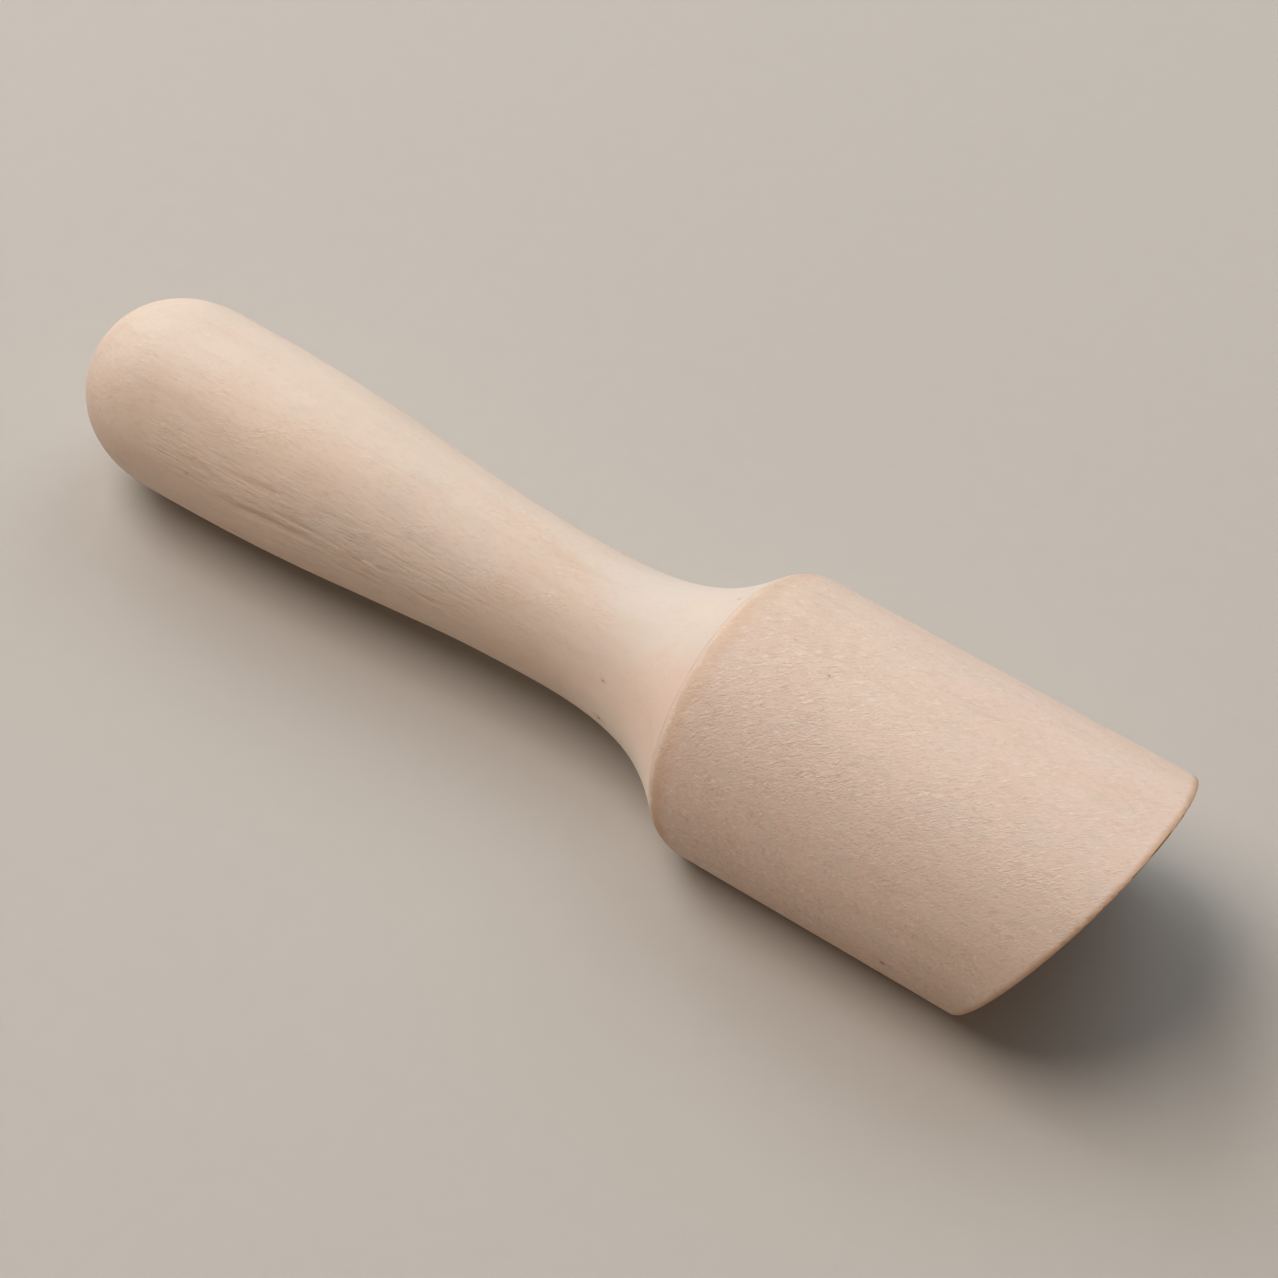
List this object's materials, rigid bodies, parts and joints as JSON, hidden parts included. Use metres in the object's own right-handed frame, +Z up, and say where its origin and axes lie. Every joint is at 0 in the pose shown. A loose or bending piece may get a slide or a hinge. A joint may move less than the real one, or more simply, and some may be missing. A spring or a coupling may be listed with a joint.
{
  "type": "small wooden scoop",
  "caption": "Small turned wooden scoop: bulb handle, flared neck and a hollow barrel head with a raked lip, lying mouth down.",
  "frame": {"origin": "under the middle of the scoop's length, on the plane that it lies on", "axes": "+X along the turning axis from the handle's tip to the lip, +Z up, away from the sawn flat"},
  "size_m": [0.13, 0.0306, 0.0256],
  "materials": {
    "handle_wood": "bare sanded hardwood, matt, cream to light tan",
    "head_wood": "bare sanded hardwood, matt, pinkish tan with raised grain"
  },
  "bodies": {
    "root": {"handle": "handle_wood", "head": "head_wood"}
  },
  "joints": []
}
